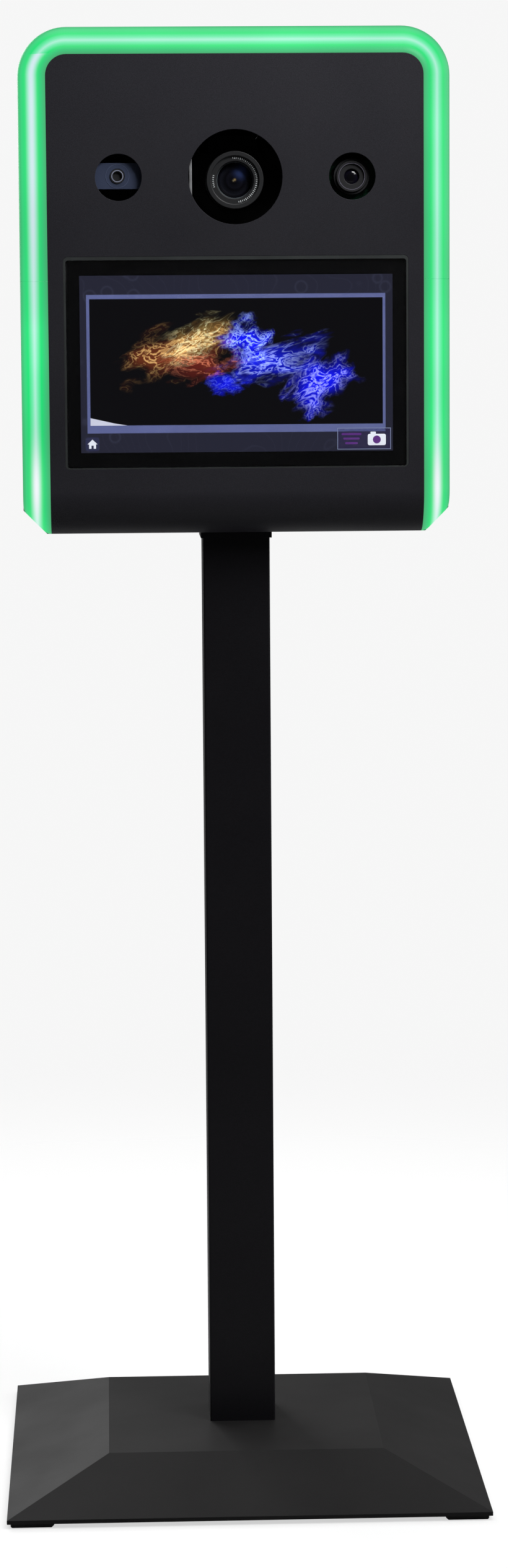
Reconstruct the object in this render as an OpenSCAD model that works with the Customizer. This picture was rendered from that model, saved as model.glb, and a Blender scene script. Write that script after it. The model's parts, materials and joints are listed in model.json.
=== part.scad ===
// Free-standing photo booth: a lit, box-shaped head on a square column and a hipped steel foot.
// Units are millimetres. +X is to the viewer's right, -Y is the front and +Z is up.
// The origin is on the floor, at the centre of the foot.

/* [Head] */
// Width over the light edge
head_w = 475; // [470:1:485]
// Height of the head's top above the floor
head_top = 1630; // [1625:1:1640]
// Height of the head itself
head_h = 555; // [550:1:560]
// Depth from the front panel's face to the rear rim
head_d = 190; // [188:1:196]
// Width of the light edge, seen from the front
edge_w = 31; // [29:1:33]
// Outer radius of the two top corners
corner_r = 54; // [50:1:58]
// Radius of the front panel's rolled lower edge
roll_r = 48; // [44:1:50]
// Sheet thickness of the panels
sheet = 2; // [1.5:0.5:2]

/* [Screen] */
// Width of the cover glass
glass_w = 374; // [370:1:376]
// Height of the cover glass
glass_h = 227; // [225:1:228]
// Width of the picture area of the 15.6 inch panel
view_w = 344.2; // [340:0.1:346]
// Height of the picture area
view_h = 193.6; // [190:0.1:195]
// Height of the screen's centre above the floor
screen_z = 1263; // [1261:1:1265]

/* [Camera ports] */
// Height of the port centres
port_z = 1466; // [1464:1:1468]
// Radius of the middle port
port_r = 51.5; // [48:0.5:52]
// Radius of the two side ports
side_port_r = 25.5; // [24:0.5:26]
// Distance of the side ports from the middle
side_port_x = 128; // [126:1:130]

/* [Stand] */
// Outside width of the square column
column_w = 75; // [74:0.5:76]
// Wall of the column tubes
column_wall = 2.5; // [2:0.5:3]
// Height of the joint between the two column tubes
column_split = 558; // [540:1:580]
// Width and depth of the foot
base_w = 534; // [500:2:560]
// Width of the foot's sloping sides, seen from above
base_slope = 112.5; // [105:0.5:120]
// Height of the foot's flat top
base_top = 50; // [48:1:54]
// Thickness of the rubber pads
pad_h = 5; // [4:1:6]
// Thickness of the ballast plate
ballast_t = 4.5; // [4:0.5:5]

/* [Hidden] */
$fn = 64;
eps = 0.01;
gap = 0.3;                                   // running gap between bodies that move apart
head_front = -column_w / 2 - 60;             // Y of the front panel's face
head_rear = head_front + head_d;             // Y of the shell's rear rim
head_bot = head_top - head_h;                // Z of the head's underside
side_y = head_front + edge_w;                // Y where the side walls start
in_x = head_w / 2 - edge_w;                  // half width of the front panel
in_top = head_top - edge_w;                  // top of the front panel
in_r = corner_r - edge_w;                    // corner radius of the front panel
roll_y = head_front + roll_r;                // axis of the rolled lower edge
roll_z = head_bot + roll_r;
edge_blend = 12;                             // radius that blends the light edge into the panel
edge_land = edge_blend * tan(22.5);
edge_wall = 3;                               // wall of the diffuser
seam_z = head_top - 276;                     // joint between the diffuser's arch and its legs
open_w = glass_w + 5;
open_h = glass_h + 5;
open_z = screen_z + 1.3;                     // the opening shows more bevel above the glass than below
door_w = 396;
door_z0 = head_bot + 67;
door_z1 = head_top - 22;
door_h = door_z1 - door_z0;
door_r = 30;
door_y = head_rear + gap;                    // inner face of the door
hinge_x = -door_w / 2 - 4;
hinge_y = head_rear + 4.5;
hinge_r = 4;
pin_r = 1.6;
hinge_zs = [door_z0 + 70, door_z1 - 110];    // lower ends of the two hinges
hinge_h = 60;
latch_x = door_w / 2 - 22;
latch_z = (door_z0 + door_z1) / 2;
fan_z = door_z1 - 72;
fan_w = 80;
fan_d = 25;
fan_y = door_y - fan_d;
socket_wall = 2;
socket_fit = 0.3;                            // gap round the column in its socket
socket_top = head_bot + 110;
column_top = socket_top - 8;
knob_zs = [head_bot + 70, head_bot + 96];
shelf_z = port_z - 68;                       // underside of the camera shelf
lens_z = port_z - 3;                         // height of the main lens axis
tilt_y = 12;                                 // axis on which the camera cradle tilts
tilt_z = shelf_z + 13;
slr_w = 129;
slr_h = 100;
slr_d = 42;
slr_x = -10;                                 // the body's middle lies beside the lens axis
slr_y = -12;                                 // front face of the camera body
slr_z = tilt_z + 4;                          // underside of the camera body
fan_hole = 35.75;                            // fan screws lie on the corners of a 71.5 mm square
inlet_x = -120;
inlet_z = head_bot + 34;
socket_out_xs = [110, 140];                  // two small panel sockets beside the power inlet
bolt_at = 26;                                // foot bolts lie on the corners of a 52 mm square
bolt_hole_r = 4.5;
flange_side = 130;
flange_t = 8;
post_w = 70;                                 // the post inside the foot, which the column stands over
post_wall = 3;
column_foot_t = 6;                           // plate inside the lower tube that the bolts hold
base_sheet = 3;                              // thickness of the folded foot cover
sleeve_screw_zs = [-55, -20, 20, 55];        // heights from the joint between the tubes
screw_hole_r = 2.6;
shaft_r = 3;                                 // small shafts and screws that turn in a hole
shaft_hole_r = 3.05;
knob_r = 10;
knob_y0 = 52;
knob_y1 = 64;
led_pitch = 16.6;                            // spacing of the lamps along a light strip
glass_t = 2.8;
glass_y = head_front + 1.6;                  // front face of the cover glass
panel_y = glass_y + glass_t;                 // front face of the display panel
case_d = 26;                                 // depth of the display's case
rail_x = in_x - 12;                          // the chassis side plates stand at this half width
rail_y = -49;
rail_d = 103;
rail_t = 3;                                  // thickness of the chassis floor and camera shelf
plate_w = 146;                               // camera cradle
plate_y = tilt_y - 34;
ear_x = 73;
dial_x = slr_x + slr_w / 2 - 15;
shutter_x = slr_x - slr_w / 2 + 17;
shutter_y = slr_y - 6;
grip_top = slr_z + 70;                       // top of the camera's hand grip
lens_r = 31;                                 // largest radius of the lens behind its rings
barrel_r = 29;
ring_hole_r = 29.05;                         // the lens rings turn on the barrel
web_x = -side_port_x - 1;
web_z = port_z + 1.6;
board_x = side_port_x + 4;
board_z = port_z - 6;
board_y = head_front + 26;

// ---------- shared shapes ----------

// Extrudes a drawing of X and Z along Y, from y0 to y1.
module along_y(y0, y1) {
    translate([0, y1, 0]) rotate([90, 0, 0]) linear_extrude(y1 - y0) children();
}

// Extrudes a drawing of Y and Z along X, from x0 to x1.
module along_x(x0, x1) {
    translate([x0, 0, 0]) rotate([90, 0, 90]) linear_extrude(x1 - x0) children();
}

module round_rect(w, h, r) {
    square([w - 2 * r, h], center = true);
    square([w, h - 2 * r], center = true);
    for (sx = [-1, 1], sz = [-1, 1])
        translate([sx * (w / 2 - r), sz * (h / 2 - r)]) circle(r);
}

module cyl_y(r, y0, y1) {
    translate([0, y1, 0]) rotate([90, 0, 0]) cylinder(r = r, h = y1 - y0);
}

module tube_y(r_out, r_in, y0, y1) {
    difference() {
        cyl_y(r_out, y0, y1);
        cyl_y(r_in, y0 - 1, y1 + 1);
    }
}

module square_tube(w, wall, z0, z1) {
    difference() {
        translate([-w / 2, -w / 2, z0]) cube([w, w, z1 - z0]);
        translate([-w / 2 + wall, -w / 2 + wall, z0 - 1]) cube([w - 2 * wall, w - 2 * wall, z1 - z0 + 2]);
    }
}

// Outline of the head from the front: round top corners and cut lower corners.
module head_outline(inset) {
    w = head_w - 2 * inset;
    r = corner_r - inset;
    top = head_top - inset;
    bot = head_bot + inset;
    cut = edge_w - edge_land - 0.586 * inset;
    polygon([[-w / 2 + cut, bot], [w / 2 - cut, bot], [w / 2, bot + cut],
        [w / 2, top - r], [-w / 2, top - r], [-w / 2, bot + cut]]);
    translate([-w / 2 + r, top - r - 1]) square([w - 2 * r, r + 1]);
    for (s = [-1, 1]) translate([s * (w / 2 - r), top - r]) circle(r);
}

// Sweeps a profile, drawn as (outwards, backwards) from the front panel's edge, up one side.
module edge_leg(z0, z1) {
    translate([in_x, head_front, z0]) linear_extrude(z1 - z0) children();
}

module edge_corner() {
    translate([in_x - in_r, head_front, in_top - in_r])
        rotate([-90, 0, 0]) rotate([0, 0, -90]) rotate_extrude(angle = 90)
            translate([in_r, 0]) children();
}

module edge_top() {
    translate([in_x - in_r, head_front, in_top]) rotate([0, -90, 0])
        linear_extrude(2 * (in_x - in_r)) children();
}

module edge_roll() {
    translate([in_x, roll_y, roll_z]) rotate([90, 0, 90]) rotate([0, 0, 180])
        rotate_extrude(angle = 90) translate([roll_r, 0]) rotate(90) children();
}

module both_sides() {
    children();
    mirror([1, 0, 0]) children();
}

// ---------- foot ----------

module trapezoid(half_low, half_high, z0, z1) {
    polygon([[-half_low, z0], [half_low, z0], [half_high, z1], [-half_high, z1]]);
}

module frustum(half_low, half_high, z0, z1) {
    intersection() {
        along_y(-half_low, half_low) trapezoid(half_low, half_high, z0, z1);
        along_x(-half_low, half_low) trapezoid(half_low, half_high, z0, z1);
    }
}

// The holes for the four foot bolts.
module bolt_holes(z, h) {
    for (sx = [-1, 1], sy = [-1, 1])
        translate([sx * bolt_at, sy * bolt_at, z]) cylinder(r = bolt_hole_r, h = h);
}

// The folded cover: four slopes and a flat top, open below.
module base_cover() {
    z0 = pad_h + ballast_t;
    low = base_w / 2;
    high = base_w / 2 - base_slope;
    color("#2c2b2d") difference() {
        frustum(low, high, z0, base_top);
        frustum(low - 8, high - 1.2, z0 - eps, base_top - base_sheet);
        bolt_holes(base_top - base_sheet - 1, base_sheet + 2);
    }
}

module ballast_plate() {
    color("#242325") difference() {
        translate([-base_w / 2, -base_w / 2, pad_h]) cube([base_w, base_w, ballast_t]);
        bolt_holes(pad_h - 1, ballast_t + 2);
    }
}

module front_pad() {
    x1 = base_w / 2 - 4;
    x0 = x1 - 48;
    y0 = -base_w / 2 + 4;
    along_y(y0, y0 + 40)
        polygon([[x0 + 3, 0], [x1 - 1.5, 0], [x1, 1.5], [x1, pad_h], [x0, pad_h], [x0, 3]]);
}

module base_pads() {
    color("#161616") both_sides() {
        front_pad();
        mirror([0, 1, 0]) front_pad();
    }
}

// The flange on the ballast plate, with a short post that reaches up to the cover.
module column_flange() {
    z0 = pad_h + ballast_t;
    color("#3a3a3c") {
        difference() {
            translate([-flange_side / 2, -flange_side / 2, z0]) cube([flange_side, flange_side, flange_t]);
            bolt_holes(z0 - 1, flange_t + 2);
        }
        square_tube(post_w, post_wall, z0 + flange_t, base_top - base_sheet);
    }
}

// Four bolts that pull the column's foot plate, the cover, the flange and the ballast together.
module flange_bolts() {
    z0 = pad_h + ballast_t - 4;
    head_z = base_top + column_foot_t;
    color("#8a8c90") for (sx = [-1, 1], sy = [-1, 1]) translate([sx * bolt_at, sy * bolt_at, 0]) {
        translate([0, 0, z0]) cylinder(r = 4, h = head_z - z0);
        translate([0, 0, head_z]) cylinder(r = 6.5, h = 6);
    }
}

// ---------- column ----------

module sleeve_screw_holes() {
    for (z = sleeve_screw_zs) translate([0, 0, column_split + z]) cyl_y(screw_hole_r, 20, 60);
}

module lower_column() {
    color("#1a1a1c") {
        difference() {
            square_tube(column_w, column_wall, base_top, column_split);
            sleeve_screw_holes();
        }
        difference() {
            translate([-post_w / 2, -post_w / 2, base_top]) cube([post_w, post_w, column_foot_t]);
            bolt_holes(base_top - 1, column_foot_t + 2);
        }
    }
}

module upper_column() {
    color("#1a1a1c") difference() {
        square_tube(column_w, column_wall, column_split, column_top);
        sleeve_screw_holes();
    }
}

module column_sleeve() {
    w = column_w - 2 * column_wall - 0.2;
    color("#77797d") difference() {
        square_tube(w, post_wall, column_split - 80, column_split + 80);
        sleeve_screw_holes();
    }
}

module sleeve_screws() {
    y = column_w / 2;
    color("#8a8c90") for (z = sleeve_screw_zs) translate([0, 0, column_split + z]) {
        cyl_y(2.5, y - 9, y);
        cyl_y(5, y, y + 2.6);
    }
}

// The box under the head that drops over the column, with a plate that rests on the column's end.
module column_socket() {
    inner = column_w + 2 * socket_fit;
    outer = inner + 2 * socket_wall;
    color("#1d1d1f") difference() {
        union() {
            translate([-outer / 2, -outer / 2, head_bot - 7]) cube([outer, outer, socket_top - head_bot + 7]);
            translate([-55, -55, head_bot + sheet + 3]) cube([110, 110, 3]);
            for (z = knob_zs) translate([0, 0, z]) cyl_y(9, outer / 2 - 1, outer / 2 + 7);
        }
        translate([-inner / 2, -inner / 2, head_bot - 8])
            cube([inner, inner, column_top + gap - head_bot + 8]);
        translate([0, 0, column_top]) cylinder(r = 22, h = 20);
        for (z = knob_zs) translate([0, 0, z]) cyl_y(shaft_hole_r, 30, 60);
    }
}

// A hand screw that bears on the column from behind.
module clamp_knob(z) {
    face = column_w / 2 + gap;
    color("#202022") translate([0, 0, z]) {
        cyl_y(shaft_r, face, knob_y0);
        difference() {
            cyl_y(knob_r, knob_y0, knob_y1);
            for (a = [0:60:300]) rotate([0, a, 0])
                translate([knob_r + 0.4, 0, 0]) cyl_y(3.2, knob_y0 - 1, knob_y1 + 1);
        }
    }
}

module clamp_knob_lower() {
    clamp_knob(knob_zs[0]);
}

module clamp_knob_upper() {
    clamp_knob(knob_zs[1]);
}

// ---------- housing ----------

// The wrap: side walls, top and bottom in one, with cut front corners below.
module body_shell() {
    outer = column_w + 2 * socket_fit + 2 * socket_wall + 0.2;
    color("#1f1f21") difference() {
        union() {
            difference() {
                along_y(side_y, head_rear) head_outline(0);
                along_y(side_y - 1, head_rear + 1) head_outline(sheet);
                translate([-head_w, side_y - 1, head_bot - 1])
                    cube([2 * head_w, roll_y - side_y + 1, roll_r + 1]);
            }
            both_sides() intersection() {
                translate([head_w / 2 - sheet, roll_y, roll_z]) rotate([0, 90, 0])
                    cylinder(r = roll_r - edge_w, h = sheet);
                translate([0, roll_y - roll_r, roll_z - roll_r]) cube([head_w, roll_r, roll_r]);
            }
        }
        translate([-outer / 2, -outer / 2, head_bot - 1]) cube([outer, outer, sheet + 2]);
    }
}

// The flat frame round the rear door, with cut-outs for the power inlet and two panel sockets.
module rear_frame() {
    color("#202022") difference() {
        along_y(head_rear - sheet, head_rear) head_outline(sheet);
        along_y(head_rear - sheet - 1, head_rear + 1) translate([0, (door_z0 + door_z1) / 2])
            round_rect(door_w - 16, door_h - 16, door_r - 8);
        along_y(head_rear - sheet - 1, head_rear + 1) translate([inlet_x, inlet_z])
            square([60, 30], center = true);
        for (x = socket_out_xs) along_y(head_rear - sheet - 1, head_rear + 1)
            translate([x, inlet_z]) square([16, 9], center = true);
    }
}

// The inner frame: two side plates, a floor, the camera shelf and the two tilt lugs on it.
module chassis() {
    floor_z = head_bot + sheet;
    lug_x = ear_x + 4;
    color("#5a5c60") {
        both_sides() difference() {
            translate([rail_x, rail_y, floor_z]) cube([sheet, rail_d, shelf_z - floor_z]);
            for (z = [head_bot + 110, head_bot + 200]) along_x(rail_x - 1, rail_x + sheet + 1)
                translate([0, z]) round_rect(60, 60, 10);
        }
        difference() {
            translate([-rail_x, rail_y, floor_z]) cube([2 * rail_x, rail_d, rail_t]);
            translate([-40, -40, head_bot]) cube([80, 80, 20]);
        }
        difference() {
            translate([-rail_x - sheet, rail_y, shelf_z]) cube([2 * (rail_x + sheet), rail_d, rail_t]);
            translate([-25, rail_y - 1, shelf_z - 1]) cube([50, 40, rail_t + 2]);
            translate([-8, -2, shelf_z - 1]) cube([16, 40, rail_t + 2]);
        }
        both_sides() difference() {
            translate([lug_x, tilt_y - 10, shelf_z + rail_t]) cube([3, 20, 16]);
            translate([lug_x - 1, tilt_y, tilt_z]) rotate([0, 90, 0]) cylinder(r = shaft_hole_r, h = 6);
        }
    }
}

// The front panel, with the screen opening, three ports and the lower edge rolled under.
module front_panel() {
    color("#2b2a2e") {
        difference() {
            along_y(head_front, head_front + sheet) {
                translate([-in_x, roll_z]) square([2 * in_x, in_top - in_r - roll_z]);
                translate([-in_x + in_r, in_top - in_r - 1]) square([2 * (in_x - in_r), in_r + 1]);
                for (s = [-1, 1]) translate([s * (in_x - in_r), in_top - in_r]) circle(in_r);
            }
            along_y(head_front - 1, head_front + sheet + 1) translate([0, open_z])
                round_rect(open_w, open_h, 5);
            translate([0, 0, port_z]) cyl_y(port_r, head_front - 1, head_front + 4);
            for (s = [-1, 1]) translate([s * side_port_x, 0, port_z])
                cyl_y(side_port_r, head_front - 1, head_front + 4);
        }
        intersection() {
            translate([-in_x, roll_y, roll_z]) rotate([0, 90, 0]) difference() {
                cylinder(r = roll_r, h = 2 * in_x);
                translate([0, 0, -1]) cylinder(r = roll_r - sheet, h = 2 * in_x + 2);
            }
            translate([-in_x - 1, head_front - 1, head_bot - 1])
                cube([2 * in_x + 2, roll_r + 1, roll_r + 1]);
        }
    }
}

// ---------- light edge ----------

function arc(cx, cy, r, a0, a1, n) = [for (i = [0:n]) let (a = a0 + (a1 - a0) * i / n)
    [cx + r * cos(a), cy + r * sin(a)]];

// The diffuser's section: a 45 degree wall that blends into the panel and into the side.
module diffuser_profile() {
    b = edge_blend;
    t = edge_wall;
    outside = concat(arc(0, b, b, -90, -45, 5), arc(edge_w - b, edge_w, b, -45, 0, 5));
    inside = concat(arc(edge_w - b, edge_w, b - t, 0, -45, 5), arc(0, b, b - t, -45, -90, 5));
    polygon(concat(outside, inside));
}

module diffuser_arch() {
    color("#45e08a") {
        both_sides() {
            edge_leg(seam_z, in_top - in_r) diffuser_profile();
            edge_corner() diffuser_profile();
        }
        edge_top() diffuser_profile();
    }
}

module diffuser_leg() {
    edge_leg(roll_z, seam_z - 0.2) diffuser_profile();
    edge_roll() diffuser_profile();
}

module diffuser_leg_right() {
    color("#45e08a") diffuser_leg();
}

module diffuser_leg_left() {
    color("#45e08a") mirror([1, 0, 0]) diffuser_leg();
}

// The aluminium rail behind the diffuser, with a slanting face for the light strip.
module channel_profile() {
    wall = 2.1;
    difference() {
        polygon([[-2, 2.1], [0, 3.1], [0, 17], [14, edge_w], [edge_w - wall, edge_w],
            [edge_w - wall, edge_w + 2], [-2, edge_w + 2]]);
        polygon([[0, 17 + wall], [0, edge_w], [14 - wall, edge_w]]);
    }
}

module light_channel() {
    color("#c9cccf") {
        both_sides() {
            edge_roll() channel_profile();
            edge_leg(roll_z, in_top - in_r) channel_profile();
            edge_corner() channel_profile();
        }
        edge_top() channel_profile();
    }
}

module strip_profile() {
    translate([7, 24]) rotate(45) translate([-5, -1.1]) square([10, 1]);
}

module led_block() {
    rotate([0, 0, 45]) translate([-2.5, -2.6, -2.5]) cube([5, 1.6, 5]);
}

module led_leg() {
    z0 = roll_z + 6;
    z1 = in_top - in_r - 4;
    edge_leg(z0, z1) strip_profile();
    for (z = [z0 + 8:led_pitch:z1 - 4]) translate([in_x + 7, head_front + 24, z]) led_block();
}

module led_strip_right() {
    color("#e9efe9") led_leg();
}

module led_strip_left() {
    color("#e9efe9") mirror([1, 0, 0]) led_leg();
}

module led_strip_top() {
    half = in_x - in_r - 4;
    color("#e9efe9") {
        translate([half, head_front, in_top]) rotate([0, -90, 0])
            linear_extrude(2 * half) strip_profile();
        for (x = [-half + 8:led_pitch:half - 4]) translate([x, head_front + 24, in_top + 7])
            rotate([0, -90, 0]) led_block();
    }
}

// ---------- screen ----------

// The rim that holds the glass in the panel's opening.
module screen_bezel() {
    rim = 1.6;
    color("#222225") difference() {
        along_y(head_front + 0.2, head_front + 6) translate([0, open_z])
            round_rect(open_w - 0.2, open_h - 0.2, 4.9);
        along_y(head_front + rim, head_front + 7) translate([0, screen_z])
            round_rect(glass_w + 0.2, glass_h + 0.2, 3);
        along_y(head_front - 1, head_front + 3) translate([0, screen_z])
            round_rect(glass_w, glass_h, 3);
    }
}

module touch_glass() {
    color("#07070a") along_y(glass_y, panel_y) translate([0, screen_z])
        round_rect(glass_w, glass_h, 3);
}

module display_panel() {
    color("#20263c") along_y(panel_y, panel_y + 3) translate([0, screen_z])
        square([view_w, view_h], center = true);
}

// The display's case, open at the front for the panel, with a row of vents near its top.
module monitor_case() {
    y0 = panel_y;
    color("#3c3d40") difference() {
        along_y(y0, y0 + case_d) translate([0, screen_z]) round_rect(glass_w - 6, glass_h - 6, 6);
        along_y(y0 - 1, y0 + 3) translate([0, screen_z])
            square([view_w + 0.2, view_h + 0.2], center = true);
        along_y(y0 + 3, y0 + case_d - sheet) translate([0, screen_z])
            square([view_w - 10, view_h - 10], center = true);
        for (i = [-5:5]) along_y(y0 + 20, y0 + case_d + 4)
            translate([i * 24, screen_z + 70]) round_rect(12, 5, 2);
    }
}

// Two angle brackets that join the display's case to the chassis side plates.
module monitor_brackets() {
    y0 = panel_y + case_d;
    inner_x = 140;
    tall = 180;
    color("#5a5c60") both_sides() {
        translate([inner_x, y0, screen_z - tall / 2]) cube([rail_x - inner_x, sheet, tall]);
        translate([rail_x - sheet, y0, screen_z - tall / 2]) cube([sheet, 40, tall]);
    }
}

// ---------- main camera ----------

// The camera's plate, which tilts between two ears, with an upright flange beside the lens.
module camera_cradle() {
    flange_x = -50;
    color("#b9bbbd") {
        difference() {
            translate([-plate_w / 2, plate_y, tilt_z + 1]) cube([plate_w, 66, 3]);
            translate([0, tilt_y, tilt_z]) cylinder(r = shaft_r + gap, h = 6);
        }
        both_sides() difference() {
            translate([ear_x, tilt_y - 10, tilt_z - 8]) cube([3.5, 20, 12]);
            translate([ear_x - 1, tilt_y, tilt_z]) rotate([0, 90, 0]) cylinder(r = shaft_hole_r, h = 6);
        }
        translate([flange_x, head_front + 26, tilt_z + 4]) cube([3, 12, 78]);
        translate([flange_x, head_front + 26, tilt_z + 1]) cube([3, 60, 3]);
    }
}

module camera_screw() {
    color("#8a8c90") translate([0, tilt_y, 0]) {
        translate([0, 0, tilt_z - 5]) cylinder(r = 9, h = 6);
        translate([0, 0, tilt_z + 1]) cylinder(r = shaft_r, h = 10);
    }
}

module tilt_screws() {
    color("#8a8c90") both_sides() {
        translate([ear_x + 0.5, tilt_y, tilt_z]) rotate([0, 90, 0]) cylinder(r = shaft_r, h = 7);
        translate([ear_x + 7, tilt_y, tilt_z]) rotate([0, 90, 0]) cylinder(r = 8, h = 6);
    }
}

// The still camera's body: a rounded box, a prism hump, a hand grip, a lens mount and a rear screen.
module slr_body() {
    color("#1b1b1d") {
        difference() {
            union() {
                along_y(slr_y, slr_y + slr_d) translate([slr_x, slr_z + slr_h * 0.4])
                    round_rect(slr_w, slr_h * 0.8, 9);
                along_y(slr_y + 3, slr_y + slr_d - 4) translate([0, slr_z + slr_h * 0.84])
                    round_rect(56, slr_h * 0.3, 12);
                translate([shutter_x, slr_y - 4, slr_z + 4]) cylinder(r = 15, h = grip_top - slr_z - 4);
            }
            translate([0, 0, lens_z]) cyl_y(27.2, slr_y - 1, slr_y + 12);
            translate([shutter_x, shutter_y, grip_top - 6]) cylinder(r = shaft_hole_r, h = 8);
            translate([slr_x, slr_y + slr_d - 4, slr_z + 38]) rotate([-90, 0, 0])
                linear_extrude(6) translate([6, 0]) square([76, 50], center = true);
            translate([0, tilt_y, slr_z - 1]) cylinder(r = 3.1, h = 9);
            translate([dial_x, slr_y + 20, slr_z + slr_h * 0.8 - 6]) cylinder(r = shaft_hole_r, h = 8);
        }
        translate([slr_x + 6 - 37, slr_y + slr_d - 4, slr_z + 14]) cube([74, 3, 48]);
        translate([-9, slr_y + 14, slr_z + slr_h - 1.4]) cube([18, 18, 3]);
    }
}

// The lens's fixed parts: bayonet, rear barrel, the long tube under the rings and an inner stop.
module slr_lens_tube() {
    color("#202022") translate([0, 0, lens_z]) {
        tube_y(27, 22, slr_y - 2, slr_y + 11);
        tube_y(lens_r + 0.5, 22, slr_y - 18, slr_y);
        tube_y(barrel_r, 24, head_front + 18, slr_y - 18);
        tube_y(24, 8, head_front + 34, head_front + 36);
    }
}

module ribbed_ring(r_out, r_in, y0, y1, ribs) {
    difference() {
        cyl_y(r_out, y0, y1);
        cyl_y(r_in, y0 - 1, y1 + 1);
        for (i = [0:ribs - 1]) rotate([0, i * 360 / ribs, 0])
            translate([r_out + 0.5, 0, 0]) cyl_y(1.1, y0 + 2, y1 - 2);
    }
}

module slr_zoom_ring() {
    color("#18181a") translate([0, 0, lens_z])
        ribbed_ring(lens_r + 1, ring_hole_r, slr_y - 44, slr_y - 18 - gap, 36);
}

module slr_focus_ring() {
    y0 = head_front + 12;
    color("#2a2a2c") translate([0, 0, lens_z]) {
        tube_y(lens_r + 0.3, ring_hole_r, y0, slr_y - 44 - gap);
        tube_y(lens_r, 26.5, y0, y0 + 4);
        tube_y(29.2, 20.5, y0 + 3, y0 + 5.7);
    }
}

module slr_front_glass() {
    y0 = head_front + 24;
    color("#0a0c18") translate([0, 0, lens_z]) intersection() {
        cyl_y(24, y0 - 1, y0 + 10);
        translate([0, y0 + 60, 0]) sphere(r = 60, $fn = 96);
    }
}

module slr_mode_dial() {
    color("#232325") translate([dial_x, slr_y + 20, slr_z + slr_h * 0.8 + gap]) {
        translate([0, 0, -5]) cylinder(r = shaft_r, h = 6);
        difference() {
            cylinder(r = 9, h = 6);
            for (a = [0:20:340]) rotate([0, 0, a]) translate([9.5, 0, -1]) cylinder(r = 0.9, h = 8);
        }
    }
}

module slr_shutter_button() {
    stem = 4;
    color("#323234") translate([shutter_x, shutter_y, grip_top - 2]) {
        cylinder(r = shaft_r, h = stem);
        translate([0, 0, stem]) cylinder(r = 5, h = 2.8);
    }
}

// ---------- small cameras ----------

module webcam_body() {
    color("#39435e") translate([web_x, 0, web_z]) {
        difference() {
            along_y(head_front + 8, head_front + 30) round_rect(94, 28.5, 13);
            cyl_y(8, head_front + 7, head_front + 16);
        }
    }
}

module webcam_lens() {
    color("#0c0d12") translate([web_x, 0, web_z]) {
        tube_y(7.9, 5, head_front + 7, head_front + 15);
        cyl_y(5, head_front + 10, head_front + 15);
    }
}

// An angle bracket from the shelf up behind the bar camera.
module webcam_bracket() {
    z0 = shelf_z + rail_t;
    color("#26272a") translate([web_x - 15, head_front + 30, z0]) {
        cube([30, sheet, port_z + 14 - z0]);
        cube([30, 30, sheet]);
    }
}

// The bare circuit board that carries the right-hand camera, with a hole near each corner.
module side_camera_board() {
    color("#17603a") difference() {
        along_y(board_y, board_y + 1.6) translate([board_x, board_z]) square([56, 48], center = true);
        for (sx = [-1, 1], sz = [-1, 1])
            translate([board_x + sx * 24, 0, board_z + sz * 20]) cyl_y(1.6, board_y - 6, board_y + 4);
    }
}

module side_camera_lens() {
    y = head_front;
    color("#1a1a1c") translate([side_port_x, 0, port_z]) difference() {
        union() {
            cyl_y(19.8, y + 12, board_y);
            cyl_y(17, y + 9, y + 12);
        }
        cyl_y(14.4, y + 5, y + 11);
        cyl_y(8.2, y + 4, y + 22);
    }
}

module side_camera_glass() {
    y = head_front;
    color("#10121c") translate([side_port_x, 0, port_z]) intersection() {
        cyl_y(8.1, y + 10, y + 22);
        translate([0, y + 26, 0]) sphere(r = 14, $fn = 64);
    }
}

// An angle bracket with four posts that hold the board off it.
module side_camera_bracket() {
    y0 = board_y + 8;
    z0 = shelf_z + rail_t;
    color("#5a5c60") {
        for (sx = [-1, 1], sz = [-1, 1]) translate([board_x + sx * 24, 0, board_z + sz * 20])
            tube_y(3, 1.6, board_y + 1.6, y0);
        translate([board_x - 28, y0, z0]) cube([56, sheet, port_z + 18 - z0]);
        translate([board_x - 28, y0, z0]) cube([56, 24, sheet]);
    }
}

// ---------- electronics ----------

// The computer stands on the chassis floor, right of the column, with cooling slots behind.
module mini_computer() {
    side = 112;
    color("#2a2c30") translate([70, -26, head_bot + sheet + rail_t]) difference() {
        cube([side, 42, side]);
        for (i = [0:6]) translate([12 + i * 13, 39, 15]) cube([4, 5, 80]);
    }
}

// The power supply stands left of the column and breathes through a grid of holes.
module power_supply() {
    color("#9a9ca0") translate([-182, 0, head_bot + sheet + rail_t]) difference() {
        translate([0, -26, 0]) cube([110, 50, 100]);
        for (i = [0:7], j = [0:5]) translate([10 + i * 12, 0, 19 + j * 12]) cyl_y(2.5, 20, 26);
    }
}

// The lamps' controller is stuck to the left side plate.
module light_controller() {
    color("#e5e5e2") translate([-rail_x, -20, shelf_z - 60]) cube([16, 60, 40]);
}

// A rear inlet with three pins and a switch bay beside them.
module power_inlet() {
    y = head_rear;
    color("#151517") translate([inlet_x, 0, inlet_z]) difference() {
        union() {
            along_y(y, y + 2.5) round_rect(66, 36, 4);
            along_y(y - 26, y) square([58, 28], center = true);
        }
        along_y(y - 16, y + 3) translate([-13, 0]) round_rect(25, 17, 3);
        along_y(y - 14, y + 3) translate([17, 0]) square([14.6, 21], center = true);
        along_x(8, 26) translate([y - 2.2, 0]) circle(1.55);
    }
    color("#c8b070") for (x = [-20, -13, -6])
        translate([inlet_x + x - 1, y - 16.5, inlet_z - (x == -13 ? -1 : 4)]) cube([2, 13, 4]);
}

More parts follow.
